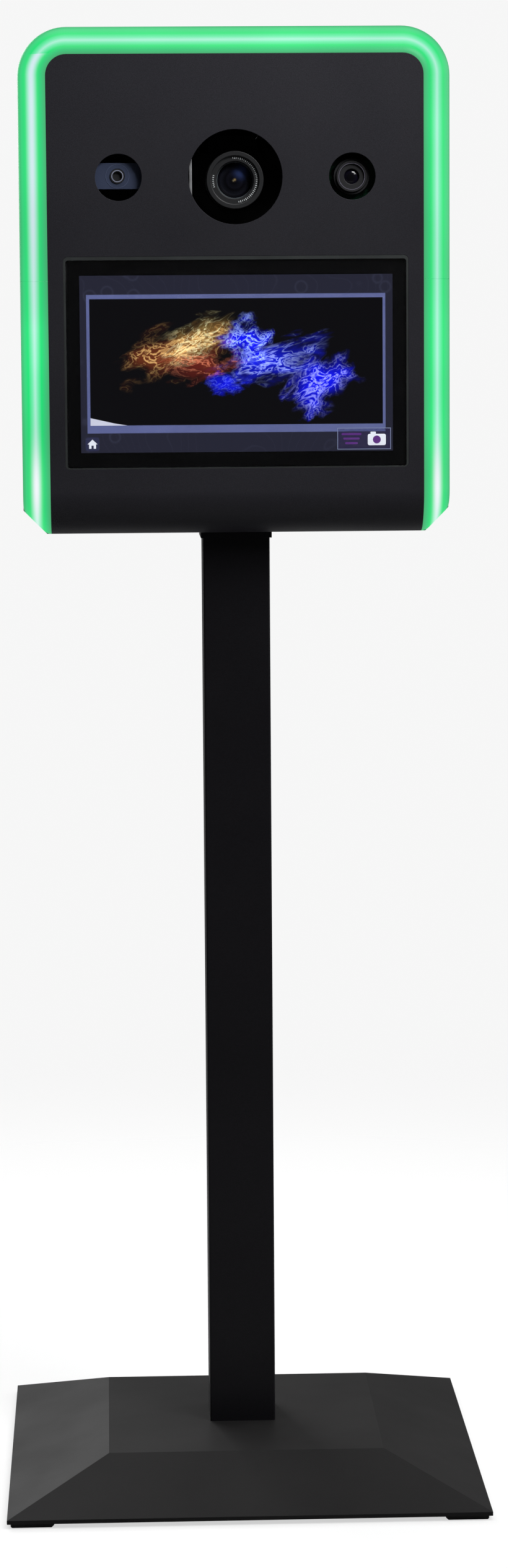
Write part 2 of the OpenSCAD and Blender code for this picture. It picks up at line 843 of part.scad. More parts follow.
// A two-position switch that rocks on an axis along X.
module power_rocker() {
    y = head_rear;
    color("#8e1b1b") translate([inlet_x + 17, y - 2.2, inlet_z]) rotate([-6, 0, 0]) {
        along_x(-7, 7) polygon([[-7, -6], [-7, 6], [4.6, 9], [3.4, 0], [4.6, -9]]);
        along_x(-8.8, 8.8) circle(1.5);
    }
}

// ---------- rear door ----------

// The holes for the four fan screws, about the fan's axis.
module fan_screw_holes(y0, y1) {
    for (sx = [-1, 1], sz = [-1, 1])
        translate([sx * fan_hole, 0, sz * fan_hole]) cyl_y(2.2, y0, y1);
}

// The service door: a flat sheet with vent slots, a fan opening and a latch hole.
module rear_door() {
    color("#1f1f21") difference() {
        along_y(door_y, door_y + sheet) translate([0, (door_z0 + door_z1) / 2])
            round_rect(door_w, door_h, door_r);
        translate([0, 0, fan_z]) cyl_y(37, door_y - 1, door_y + 4);
        translate([latch_x, 0, latch_z]) cyl_y(6.05, door_y - 1, door_y + 4);
        for (i = [0:9], s = [-1, 1]) along_y(door_y - 1, door_y + 4)
            translate([s * 62, door_z0 + 50 + i * 12]) round_rect(80, 5, 2.4);
        translate([0, 0, fan_z]) fan_screw_holes(door_y - 1, door_y + 4);
    }
}

// One hinge: the parts of its knuckle that belong to the fixed leaf, or to the moving leaf.
module knuckles(z, moving) {
    n = 3;
    step = hinge_h / n;
    for (i = [0:n - 1]) if ((i % 2 == 1) == moving)
        translate([hinge_x, hinge_y, z + i * step + 0.2]) difference() {
            cylinder(r = hinge_r, h = step - 0.4);
            translate([0, 0, -1]) cylinder(r = pin_r + 0.05, h = step + 2);
        }
}

module door_hinges_fixed() {
    step = hinge_h / 3;
    color("#2a2a2c") for (z = hinge_zs) difference() {
        union() {
            knuckles(z, false);
            for (i = [0, 2]) translate([hinge_x - 19, head_rear, z + i * step + 0.2])
                cube([19, 1.8, step - 0.4]);
            translate([hinge_x - 19, head_rear, z + 0.2]) cube([13, 1.8, hinge_h - 0.4]);
        }
        translate([hinge_x, hinge_y, z - 1]) cylinder(r = pin_r + 0.05, h = hinge_h + 2);
    }
}

module door_hinges_moving() {
    step = hinge_h / 3;
    y = door_y + sheet;
    color("#2a2a2c") for (z = hinge_zs) difference() {
        union() {
            knuckles(z, true);
            translate([hinge_x, y, z + step + 0.2]) cube([26, 1.6, step - 0.4]);
            translate([hinge_x + 6, y, z + 0.2]) cube([20, 1.6, hinge_h - 0.4]);
        }
        translate([hinge_x, hinge_y, z - 1]) cylinder(r = pin_r + 0.05, h = hinge_h + 2);
    }
}

module door_hinge_pins() {
    color("#9a9ca0") for (z = hinge_zs) translate([hinge_x, hinge_y, z - 1]) {
        cylinder(r = pin_r, h = hinge_h + 1);
        translate([0, 0, hinge_h + 1]) cylinder(r = 3, h = 1.6);
        translate([0, 0, -0.2]) cylinder(r = 3, h = 1);
    }
}

// A quarter-turn latch: a knob outside, a shaft and a cam inside.
module door_latch() {
    y = door_y + sheet + gap;
    color("#2f3033") translate([latch_x, 0, latch_z]) {
        cyl_y(6, door_y - 4, y);
        cyl_y(11, y, y + 7);
        along_y(y + 7, y + 15) round_rect(6, 20, 2.9);
        along_y(door_y - 5.3, door_y - 2.8) translate([0, -10]) round_rect(12, 36, 5.9);
    }
}

// The fan's square housing, with the spokes and the spindle that carry the rotor.
module fan_frame() {
    color("#18181a") translate([0, 0, fan_z]) difference() {
        along_y(fan_y, door_y) round_rect(fan_w, fan_w, 5);
        cyl_y(38, fan_y + 3, door_y + 1);
        difference() {
            cyl_y(38, fan_y - 1, fan_y + 4);
            cyl_y(16, fan_y - 2, fan_y + 5);
            for (a = [45, 135]) rotate([0, a, 0]) translate([-40, fan_y - 2, -2.5]) cube([80, 7, 5]);
        }
        fan_screw_holes(fan_y - 1, door_y + 1);
    }
    color("#18181a") translate([0, 0, fan_z]) cyl_y(2, fan_y + 2, fan_y + 16);
}

module fan_rotor() {
    blades = 7;
    y0 = fan_y + 4;
    color("#26262a") translate([0, 0, fan_z]) {
        tube_y(16, 2.05, y0, door_y - 4);
        for (i = [0:blades - 1]) rotate([0, i * 360 / blades, 0])
            translate([14, (y0 + door_y - 4) / 2, 0]) rotate([38, 0, 0])
                translate([0, -1, -10]) cube([22, 2, 20]);
    }
}

module fan_guard() {
    y = door_y + sheet + 1.2;
    color("#8a8c90") translate([0, y, fan_z]) {
        for (r = [12, 20, 28, 36]) rotate([90, 0, 0]) rotate_extrude()
            translate([r, 0]) circle(r = 1.2, $fn = 24);
        for (a = [45, 135]) rotate([0, a, 0]) translate([-47, 0, 0]) rotate([0, 90, 0])
            cylinder(r = 1.2, h = 94, $fn = 24);
        for (sx = [-1, 1], sz = [-1, 1]) translate([sx * fan_hole, 0, sz * fan_hole])
            rotate([90, 0, 0]) rotate_extrude() translate([3.9, 0]) circle(r = 1.2, $fn = 24);
    }
}

module fan_screws() {
    y = door_y + sheet + 2.4;
    color("#8a8c90") for (sx = [-1, 1], sz = [-1, 1])
        translate([sx * fan_hole, 0, fan_z + sz * fan_hole]) {
            cyl_y(2, fan_y + 6, y);
            cyl_y(4.6, y, y + 2.2);
        }
}

module panel_screws() {
    x = head_w / 2 - 12;
    zs = [head_bot + 52, head_bot + 245, head_bot + 395, head_bot + 492];
    color("#8a8c90") for (s = [-1, 1], z = zs) translate([s * x, 0, z])
        cyl_y(3.5, head_rear, head_rear + 2.2);
}

base_cover();
ballast_plate();
base_pads();
column_flange();
flange_bolts();
lower_column();
upper_column();
column_sleeve();
sleeve_screws();
column_socket();
clamp_knob_lower();
clamp_knob_upper();
body_shell();
rear_frame();
chassis();
front_panel();
light_channel();
diffuser_arch();
diffuser_leg_left();
diffuser_leg_right();
led_strip_top();
led_strip_left();
led_strip_right();
screen_bezel();
touch_glass();
display_panel();
monitor_case();
monitor_brackets();
camera_cradle();
camera_screw();
tilt_screws();
slr_body();
slr_lens_tube();
slr_zoom_ring();
slr_focus_ring();
slr_front_glass();
slr_mode_dial();
slr_shutter_button();
webcam_body();
webcam_lens();
webcam_bracket();
side_camera_board();
side_camera_lens();
side_camera_glass();
side_camera_bracket();
mini_computer();
power_supply();
light_controller();
power_inlet();
power_rocker();
rear_door();
door_hinges_fixed();
door_hinges_moving();
door_hinge_pins();
door_latch();
fan_frame();
fan_rotor();
fan_guard();
fan_screws();
panel_screws();
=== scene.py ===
"""Photo booth: a lit, box-shaped head with three cameras and a touch screen, on a column and foot."""
import json
import math

import bmesh
import bpy
from mathutils import Matrix, Vector


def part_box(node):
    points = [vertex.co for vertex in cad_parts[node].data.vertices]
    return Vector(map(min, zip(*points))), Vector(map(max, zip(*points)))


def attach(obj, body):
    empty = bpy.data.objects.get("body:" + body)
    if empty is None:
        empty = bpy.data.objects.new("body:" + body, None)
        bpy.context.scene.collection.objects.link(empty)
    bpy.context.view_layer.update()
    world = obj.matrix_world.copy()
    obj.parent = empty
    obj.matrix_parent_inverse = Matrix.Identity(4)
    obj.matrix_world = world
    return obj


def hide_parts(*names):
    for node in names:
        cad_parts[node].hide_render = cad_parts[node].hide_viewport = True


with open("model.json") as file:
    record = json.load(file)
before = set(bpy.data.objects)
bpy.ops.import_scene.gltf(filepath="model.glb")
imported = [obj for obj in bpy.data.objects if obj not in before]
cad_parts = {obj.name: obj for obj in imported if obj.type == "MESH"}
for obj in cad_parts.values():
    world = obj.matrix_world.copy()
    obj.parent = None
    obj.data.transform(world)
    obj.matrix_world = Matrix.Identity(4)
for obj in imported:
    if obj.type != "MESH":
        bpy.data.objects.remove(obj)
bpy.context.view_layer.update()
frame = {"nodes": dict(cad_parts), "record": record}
nodes = frame["nodes"]

# ---------------------------------------------------------------- camera and studio
# The booth stands in a pale studio. The camera looks slightly down at it from a little
# left of its middle, at chest height, with a long lens.
eye = Vector((-0.144, -4.366, 1.330))
turn_right = 0.0374
look_down = 0.1241
lean = -0.007
camera_data = bpy.data.cameras.new("camera")
camera_data.sensor_width = 36
camera_data.lens = 88.7
camera = bpy.data.objects.new("camera", camera_data)
camera.matrix_world = (
    Matrix.Translation(eye)
    @ Matrix.Rotation(-turn_right, 4, "Z")
    @ Matrix.Rotation(math.pi / 2 - look_down, 4, "X")
    @ Matrix.Rotation(lean, 4, "Z")
)
bpy.context.scene.collection.objects.link(camera)
bpy.context.scene.camera = camera


def wire(tree, kind, inputs=(), **settings):
    """Adds a shader node. An input is a plain value, or another node's output to link."""
    made = tree.nodes.new("ShaderNode" + kind)
    for key, value in settings.items():
        setattr(made, key, value)
    for key, value in dict(inputs).items():
        if isinstance(value, bpy.types.NodeSocket):
            tree.links.new(value, made.inputs[key])
        else:
            made.inputs[key].default_value = value
    return made


def fresh_tree(name):
    """A new material with an empty node tree and its output node."""
    material = bpy.data.materials.new(name)
    material.use_nodes = True
    material.node_tree.nodes.clear()
    return material, material.node_tree


def math_node(tree, operation, a, b=0.0, c=0.0, clamp=False):
    return wire(tree, "Math", {0: a, 1: b, 2: c}, operation=operation, use_clamp=clamp).outputs[0]


def object_place(tree):
    return wire(tree, "TexCoord").outputs["Object"]


def blotches(tree, scale, low, high, detail=3.0):
    """Slow random variation between two values."""
    noise = wire(tree, "TexNoise", {"Vector": object_place(tree), "Scale": scale, "Detail": detail})
    spread = wire(tree, "MapRange", {0: noise.outputs["Fac"], 1: 0.3, 2: 0.7, 3: low, 4: high})
    return spread.outputs[0]


def finish_surface(tree, shader):
    wire(tree, "OutputMaterial", {"Surface": shader})


def scaled(tree, colour, share):
    """A colour times a value."""
    return wire(tree, "VectorMath", {0: colour, "Scale": share}, operation="SCALE").outputs[0]


def vectors(tree, operation, first, second):
    return wire(tree, "VectorMath", {0: first, 1: second}, operation=operation).outputs[0]


def length_of(tree, vector):
    return wire(tree, "VectorMath", {0: vector}, operation="LENGTH").outputs["Value"]


bpy.context.scene.view_settings.view_transform = "Standard"

pale_floor, tree = fresh_tree("pale_floor")
away = length_of(tree, vectors(tree, "MULTIPLY", object_place(tree), (1, 1, 0)))
fade = wire(tree, "MapRange", {0: away, 1: 0.9, 2: 2.4, 3: 0.0, 4: 1.0},
            interpolation_type="SMOOTHSTEP").outputs[0]
seen = wire(tree, "LightPath").outputs["Is Camera Ray"]
paint = wire(tree, "BsdfPrincipled", {"Base Color": (0.40, 0.40, 0.40, 1), "Roughness": 0.7,
             "Specular IOR Level": 0.1, "Emission Color": (1, 1, 1, 1),
             "Emission Strength": math_node(tree, "MULTIPLY", seen, 0.61)})
clear = wire(tree, "BsdfTransparent")
blend = wire(tree, "MixShader", {0: fade, 1: paint.outputs[0], 2: clear.outputs[0]})
finish_surface(tree, blend.outputs[0])
bm = bmesh.new()
bmesh.ops.create_circle(bm, cap_ends=True, segments=64, radius=2.5)
floor_mesh = bpy.data.meshes.new("floor")
bm.to_mesh(floor_mesh)
bm.free()
floor_mesh.materials.append(pale_floor)
floor = bpy.data.objects.new("floor", floor_mesh)
bpy.context.scene.collection.objects.link(floor)

world = bpy.data.worlds.new("studio")
world.use_nodes = True
tree = world.node_tree
tree.nodes.clear()
facing = wire(tree, "SeparateXYZ", {0: wire(tree, "TexCoord").outputs["Generated"]})
behind = wire(tree, "MapRange", {0: facing.outputs[1], 1: -0.2, 2: 0.6, 3: 0.03, 4: 0.22})
seen = wire(tree, "LightPath").outputs["Is Camera Ray"]
level = wire(tree, "Mix", {0: seen, 2: behind.outputs[0], 3: 0.925}, data_type="FLOAT").outputs[0]
sky = wire(tree, "Background", {"Color": (1.0, 1.0, 1.0, 1), "Strength": level})
wire(tree, "OutputWorld", {"Surface": sky.outputs[0]})
bpy.context.scene.world = world


def soft_light(name, place, target, size, power, colour=(1, 1, 1)):
    lamp = bpy.data.lights.new(name, "AREA")
    lamp.shape = "RECTANGLE"
    lamp.size, lamp.size_y = size
    lamp.energy = power
    lamp.color = colour
    made = bpy.data.objects.new(name, lamp)
    aim = Vector(target) - Vector(place)
    made.matrix_world = Matrix.Translation(place) @ aim.to_track_quat("-Z", "Y").to_matrix().to_4x4()
    bpy.context.scene.collection.objects.link(made)


soft_light("key", (2.3, -2.6, 3.6), (0, 0, 1.5), (1.6, 1.6), 72)
soft_light("face_wash", (0.60, -0.80, 2.30), (0.05, -0.1, 1.5), (0.7, 0.3), 11)
soft_light("overhead", (0.0, -0.2, 4.4), (0, 0, 0), (3.0, 3.0), 88)
soft_light("rear_fill", (-1.6, 2.8, 2.3), (0, 0, 1.3), (2.0, 1.6), 60)
soft_light("side_fill", (3.2, 1.0, 2.0), (0, 0, 1.2), (1.6, 1.6), 35)

# ---------------------------------------------------------------- folded foot
# The foot is a folded steel cover over a thick ballast plate. Both have a satin black powder
# coat with a fine orange peel, and the flat top holds a little dust.


def clean_copy(node):
    """A bmesh of a CAD node with its loose triangles merged into whole faces."""
    bm = bmesh.new()
    bm.from_mesh(nodes[node].data)
    bmesh.ops.remove_doubles(bm, verts=bm.verts, dist=5e-6)
    bmesh.ops.dissolve_limit(bm, angle_limit=0.003, verts=bm.verts, edges=bm.edges)
    return bm


def soften(bm, radius, segments=3, least=35):
    """Rounds every edge that is sharper than the least angle, in degrees."""
    sharp = [e for e in bm.edges if len(e.link_faces) == 2 and e.calc_face_angle(0) > math.radians(least)]
    bmesh.ops.bevel(bm, geom=sharp, offset=radius, offset_type="OFFSET", affect="EDGES",
                    segments=segments, profile=0.5, material=-1, clamp_overlap=True)


def fit_piece(name, bm, material, body, stands_for=(), smooth=30):
    """Makes a bmesh into a piece on a body."""
    for face in bm.faces:
        face.smooth = True
    mesh = bpy.data.meshes.new(name)
    bm.to_mesh(mesh)
    bm.free()
    mesh.set_sharp_from_angle(angle=math.radians(smooth))
    mesh.materials.append(material)
    made = bpy.data.objects.new(name, mesh)
    bpy.context.scene.collection.objects.link(made)
    even = made.modifiers.new("even_shade", "WEIGHTED_NORMAL")
    even.keep_sharp = True
    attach(made, body)
    if stands_for:
        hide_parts(*stands_for)


def softened(node, name, radius, material, body, segments=2, least=40, smooth=35):
    """A copy of a CAD node with rounded edges, which stands for it."""
    bm = clean_copy(node)
    soften(bm, radius, segments, least)
    fit_piece(name, bm, material, body, (node,), smooth)


def mix_colour(tree, share, first, second):
    return wire(tree, "Mix", {0: share, 6: first, 7: second}, data_type="RGBA").outputs[2]


def powder_coat(name, colour, roughness=0.5, peel=1100, depth=0.12, dust=0.0, specular=0.16):
    """Powder coat: an even colour, a fine orange peel, slow blotches, and dust on what faces up."""
    material, tree = fresh_tree(name)
    place = object_place(tree)
    grain = wire(tree, "TexNoise", {"Vector": place, "Scale": peel, "Detail": 2.0, "Roughness": 0.6})
    bump = wire(tree, "Bump", {"Strength": depth, "Distance": 0.0004, "Height": grain.outputs["Fac"]})
    tone = blotches(tree, 3.0, 0.86, 1.14)
    speck = wire(tree, "MapRange", {0: grain.outputs["Fac"], 1: 0.35, 2: 0.65, 3: 0.85, 4: 1.15})
    tone = math_node(tree, "MULTIPLY", tone, speck.outputs[0])
    shade = scaled(tree, colour, tone)
    if dust:
        up = wire(tree, "SeparateXYZ", {0: wire(tree, "NewGeometry").outputs["Normal"]}).outputs[2]
        top = math_node(tree, "SMOOTH_MAX", math_node(tree, "SUBTRACT", up, 0.85), 0.0, 0.05)
        film = math_node(tree, "MULTIPLY", math_node(tree, "MULTIPLY", top, 6.0),
                         blotches(tree, 14.0, 0.5, 1.0, 6.0), clamp=True)
        film = math_node(tree, "MULTIPLY", film, dust)
        shade = mix_colour(tree, film, shade, (0.32, 0.31, 0.30, 1))
    rough = blotches(tree, 9.0, roughness - 0.05, roughness + 0.06, 5.0)
    coat = wire(tree, "BsdfPrincipled", {"Base Color": shade, "Roughness": rough,
                "Normal": bump.outputs[0], "Specular IOR Level": specular})
    finish_surface(tree, coat.outputs[0])
    return material


foot_black = powder_coat("foot_black", (0.011, 0.0107, 0.011), roughness=0.5, dust=0.02, specular=0.11)
case_black = powder_coat("case_black", (0.021, 0.0205, 0.0255), roughness=0.5)
case_rear = powder_coat("case_rear", (0.024, 0.023, 0.026), roughness=0.5)
column_black = powder_coat("column_black", (0.009, 0.0085, 0.0105), roughness=0.42, peel=900)

softened("base_cover", "foot_cover", 0.0016, foot_black, "stand", 3, 12, 30)
softened("ballast_plate", "foot_ballast", 0.0008, foot_black, "stand", 3, 35, 30)

# ---------------------------------------------------------------- rubber pads
# Four moulded rubber pads are glued under the corners. The rubber is matt, with a slightly
# pebbled skin.


def rubber(name, colour=(0.016, 0.016, 0.016), pebble=1500):
    material, tree = fresh_tree(name)
    cells = wire(tree, "TexVoronoi", {"Vector": object_place(tree), "Scale": pebble})
    bump = wire(tree, "Bump", {"Strength": 0.25, "Distance": 0.0003, "Height": cells.outputs["Distance"]})
    shade = scaled(tree, colour, blotches(tree, 60.0, 0.8, 1.3))
    coat = wire(tree, "BsdfPrincipled", {"Base Color": shade, "Roughness": 0.78,
                "Normal": bump.outputs[0], "Specular IOR Level": 0.3})
    finish_surface(tree, coat.outputs[0])
    return material


pad_rubber = rubber("pad_rubber")
softened("base_pads", "foot_pads", 0.0007, pad_rubber, "stand", 3, 35, 30)

# ---------------------------------------------------------------- column
# Two lengths of square steel tube are joined by a sleeve inside and screwed from behind. The
# tube has rounded corners and a darker, smoother powder coat than the head.


def metal(name, colour, roughness, grain=(40, 40, 900), metallic=1.0, depth=0.05):
    """Bare or plated metal with fine drawn lines along one axis and faint stains."""
    material, tree = fresh_tree(name)
    stretched = wire(tree, "Mapping", {"Vector": object_place(tree), "Scale": grain})
    lines = wire(tree, "TexNoise", {"Vector": stretched.outputs[0], "Scale": 1.0, "Detail": 4.0})
    bump = wire(tree, "Bump", {"Strength": depth, "Distance": 0.0003, "Height": lines.outputs["Fac"]})
    shade = scaled(tree, colour, blotches(tree, 35.0, 0.88, 1.08))
    coat = wire(tree, "BsdfPrincipled", {"Base Color": shade, "Metallic": metallic,
                "Roughness": blotches(tree, 50.0, roughness - 0.05, roughness + 0.08),
                "Normal": bump.outputs[0]})
    finish_surface(tree, coat.outputs[0])
    return material


zinc = metal("zinc", (0.50, 0.51, 0.52), 0.38)
bare_aluminium = metal("bare_aluminium", (0.66, 0.67, 0.68), 0.34)
screw_steel = metal("screw_steel", (0.34, 0.35, 0.36), 0.30, grain=(300, 300, 300))

for node in ("lower_column", "upper_column"):
    bm = clean_copy(node)
    corners = [e for e in bm.edges if e.calc_length() > 0.2 and e.calc_face_angle(0) > 1
               and abs(e.verts[0].co.x - e.verts[1].co.x) + abs(e.verts[0].co.y - e.verts[1].co.y) < 1e-5]
    bmesh.ops.bevel(bm, geom=corners, offset=0.0024, offset_type="OFFSET", affect="EDGES",
                    segments=4, profile=0.5, material=-1, clamp_overlap=True)
    fit_piece(node.replace("column", "tube"), bm, column_black, "stand", (node,))

softened("column_socket", "socket", 0.0006, column_black, "head", 3, 35, 30)


def button_screw(bm, place, outward, radius, height):
    """Adds a domed socket-head screw, seen from outside."""
    outward = Vector(outward)
    steps = 24
    hexagon = radius * 0.48
    rings = [(radius, 0.0), (radius, 0.25), (radius * 0.93, 0.6), (radius * 0.74, 0.88),
             (hexagon * 1.18, 1.0), (hexagon, 0.97), (hexagon, 0.35), (0.0, 0.35)]
    across = outward.orthogonal().normalized()
    above = outward.cross(across)
    loops = []
    for ring, rise in rings:
        loop = []
        for step in range(steps):
            angle = 2 * math.pi * step / steps
            reach = ring
            if 0 < ring <= hexagon:
                reach = ring * math.cos(math.pi / 6) / math.cos(angle % (math.pi / 3) - math.pi / 6)
            loop.append(bm.verts.new(Vector(place) + outward * height * rise
                                     + (across * math.cos(angle) + above * math.sin(angle)) * reach))
            if ring == 0:
                break
        loops.append(loop)
    for low, high in zip(loops, loops[1:]):
        for step in range(steps):
            after = (step + 1) % steps
            if len(high) == 1:
                bm.faces.new((low[step], low[after], high[0]))
            else:
                bm.faces.new((low[step], low[after], high[after], high[step]))
    bm.faces.new(list(reversed(loops[0])))


def screws_on(name, node, outward, radius, height, body):
    """Replaces a node's plain screw heads by domed ones, one on each separate solid."""
    copy = clean_copy(node)
    bm = bmesh.new()
    outward = Vector(outward)
    left = set(copy.verts)
    while left:
        group = {left.pop()}
        front = set(group)
        while front:
            front = {e.other_vert(v) for v in front for e in v.link_edges} - group
            group |= front
        left -= group
        low = Vector([min(v.co[i] for v in group) for i in range(3)])
        high = Vector([max(v.co[i] for v in group) for i in range(3)])
        middle = (low + high) / 2
        tip = max(v.co.dot(outward) for v in group)
        seat = middle + outward * (tip - middle.dot(outward) - height)
        button_screw(bm, seat, outward, radius, height)
    copy.free()
    bmesh.ops.recalc_face_normals(bm, faces=bm.faces)
    fit_piece(name, bm, screw_steel, body, (node,), smooth=35)


screws_on("tube_screws", "sleeve_screws", (0, 1, 0), 0.005, 0.0026, "stand")

# ---------------------------------------------------------------- housing
# The head's shell is one folded steel wrap with welded corners, a front panel whose lower edge
# rolls under, and a rear frame. The openings have a small broken edge.
for node, name, radius, paint in (("body_shell", "wrap_shell", 0.0005, case_rear),
                                  ("front_panel", "face_panel", 0.0006, case_black),
                                  ("rear_frame", "back_frame", 0.0004, case_rear)):
    softened(node, name, radius, paint, "head", smooth=30)

screws_on("back_screws", "panel_screws", (0, 1, 0), 0.0036, 0.0022, "head")

# ---------------------------------------------------------------- lit edge
# A frosted polycarbonate strip runs round the face at 45 degrees: an arch over the top and two
# legs. Green LEDs behind it make a pale core line, a saturated band and duller borders.
face_half, face_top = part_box("front_panel")[1][0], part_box("front_panel")[1][2]
edge_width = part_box("diffuser_arch")[1][0] - face_half
face_corner = 0.023


def bell(tree, value, middle, width):
    """1 at the middle, falling smoothly to nearly 0 one width away."""
    off = math_node(tree, "DIVIDE", math_node(tree, "SUBTRACT", value, middle), width)
    square = math_node(tree, "MULTIPLY", off, off)
    return math_node(tree, "POWER", math.e, math_node(tree, "MULTIPLY", square, -1.0))


def lit_plastic(name):
    material, tree = fresh_tree(name)
    parts = wire(tree, "SeparateXYZ", {0: object_place(tree)})
    side = math_node(tree, "ABSOLUTE", parts.outputs[0])
    right = math_node(tree, "SUBTRACT", side, face_half - face_corner)
    above = math_node(tree, "SUBTRACT", parts.outputs[2], face_top - face_corner)
    reach = wire(tree, "CombineXYZ", {0: math_node(tree, "MAXIMUM", right, 0.0),
                                      1: math_node(tree, "MAXIMUM", above, 0.0)})
    length = length_of(tree, reach.outputs[0])
    inside = math_node(tree, "MINIMUM", math_node(tree, "MAXIMUM", right, above), 0.0)
    out = math_node(tree, "SUBTRACT", math_node(tree, "ADD", length, inside), face_corner)
    across = math_node(tree, "DIVIDE", out, edge_width)
    ramp = wire(tree, "ValToRGB", {0: across})
    stops = ((0.0, (0.070, 0.42, 0.17)), (0.14, (0.045, 0.58, 0.20)), (0.28, (0.016, 0.76, 0.19)),
             (0.40, (0.16, 0.84, 0.42)), (0.50, (0.42, 0.87, 0.68)), (0.60, (0.16, 0.84, 0.42)),
             (0.73, (0.016, 0.76, 0.19)), (0.87, (0.05, 0.66, 0.22)), (1.0, (0.055, 0.40, 0.16)))
    ramp.color_ramp.elements[0].position = stops[0][0]
    ramp.color_ramp.elements[0].color = (*stops[0][1], 1)
    ramp.color_ramp.elements[1].position = stops[-1][0]
    ramp.color_ramp.elements[1].color = (*stops[-1][1], 1)
    for position, colour in stops[1:-1]:
        ramp.color_ramp.elements.new(position).color = (*colour, 1)
    core = bell(tree, across, 0.5, 0.14)
    hot = math_node(tree, "MULTIPLY", bell(tree, parts.outputs[2], 1.128, 0.042), core, clamp=True)
    shade = mix_colour(tree, hot, ramp.outputs[0], (0.93, 0.95, 1.0, 1))
    cool = math_node(tree, "MULTIPLY", math_node(tree, "LESS_THAN", parts.outputs[0], 0.0), core)
    height = wire(tree, "MapRange", {0: parts.outputs[2], 1: 1.25, 2: 1.42, 3: 0.0, 4: 0.8})
    cool = math_node(tree, "MULTIPLY", cool, height.outputs[0], clamp=True)
    cool = math_node(tree, "MULTIPLY", cool, math_node(tree, "LESS_THAN", parts.outputs[2], 1.60))
    shade = mix_colour(tree, cool, shade, (0.74, 0.84, 0.95, 1))
    pulse = blotches(tree, 9.0, 0.9, 1.06, 1.0)
    coat = wire(tree, "BsdfPrincipled", {"Base Color": (0.008, 0.03, 0.016, 1), "Roughness": 0.42,
                "Emission Color": shade, "Emission Strength": pulse, "Specular IOR Level": 0.12})
    finish_surface(tree, coat.outputs[0])
    return material


lit_green = lit_plastic("lit_green")
for node in ("diffuser_arch", "diffuser_leg_left", "diffuser_leg_right"):
    softened(node, node.replace("diffuser", "lit"), 0.0003, lit_green, "head", 2, 50, 40)

# ---------------------------------------------------------------- screen
# A sheet of black-printed glass covers a 15.6 inch panel. The picture area shows a dark page with
# a pale border, a home button, a camera button and an abstract two-colour cloud.
glass_low, glass_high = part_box("touch_glass")
view_low, view_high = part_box("display_panel")
view_mid = [(a + b) / 2 for a, b in zip(view_low, view_high)]
view_width = view_high[0] - view_low[0]

clear_glass, tree = fresh_tree("clear_glass")
coat = wire(tree, "BsdfPrincipled", {"Base Color": (0.97, 0.98, 0.98, 1), "Roughness": 0.0,
            "Transmission Weight": 1.0, "IOR": 1.45})
finish_surface(tree, coat.outputs[0])
softened("touch_glass", "cover_pane", 0.0005, clear_glass, "head", 2, 35, 30)


def gloss(name, colour, roughness=0.2, coat_weight=0.0, mottle=0.15):
    """Smooth moulded plastic or paint with faint unevenness."""
    material, tree = fresh_tree(name)
    swell = wire(tree, "TexNoise", {"Vector": object_place(tree), "Scale": 220.0, "Detail": 2.0})
    bump = wire(tree, "Bump", {"Strength": 0.04, "Distance": 0.0005, "Height": swell.outputs["Fac"]})
    shade = scaled(tree, colour, blotches(tree, 20.0, 1 - mottle, 1 + mottle))
    coat = wire(tree, "BsdfPrincipled", {"Base Color": shade, "Roughness": roughness,
                "Normal": bump.outputs[0], "Coat Weight": coat_weight, "Specular IOR Level": 0.4})
    finish_surface(tree, coat.outputs[0])
    return material


def frame_ring(bm, outer, inner, y0, y1):
    """Adds a flat ring between two rectangles, each (x0, z0, x1, z1), from y0 to y1."""
    def loop(r, y):
        return [bm.verts.new((x, y, z)) for x, z in ((r[0], r[1]), (r[2], r[1]), (r[2], r[3]), (r[0], r[3]))]
    loops = [loop(outer, y0), loop(inner, y0), loop(inner, y1), loop(outer, y1)]
    for first, second in zip(loops, loops[1:] + loops[:1]):
        for step in range(4):
            after = (step + 1) % 4
            bm.faces.new((first[step], first[after], second[after], second[step]))
    bmesh.ops.recalc_face_normals(bm, faces=bm.faces)


# The screen bezel is satin black, given a lighter grey than the case so that it shows as a pale band: a
# painted highlight of the light its rim catches.
rim_satin_and_painted_highlight = gloss("rim_satin_and_painted_highlight", (0.034, 0.038, 0.038), 0.38)
print_black = gloss("print_black", (0.0035, 0.0035, 0.0045), 0.25)
print_inset = 0.0006
print_edge = (glass_low[0] + print_inset, glass_low[2] + print_inset,
              glass_high[0] - print_inset, glass_high[2] - print_inset)
window = (view_low[0], view_low[2], view_high[0], view_high[2])
bm = bmesh.new()
frame_ring(bm, print_edge, window, glass_high[1] - 0.0004, glass_high[1] - 0.0001)
fit_piece("black_print", bm, print_black, "head")


def glow(name, colour, strength=1.0):
    material, tree = fresh_tree(name)
    shade = scaled(tree, colour, blotches(tree, 30.0, 0.92, 1.05))
    coat = wire(tree, "BsdfPrincipled", {"Base Color": (0.01, 0.01, 0.012, 1), "Roughness": 0.6,
                "Emission Color": shade, "Emission Strength": strength})
    finish_surface(tree, coat.outputs[0])
    return material


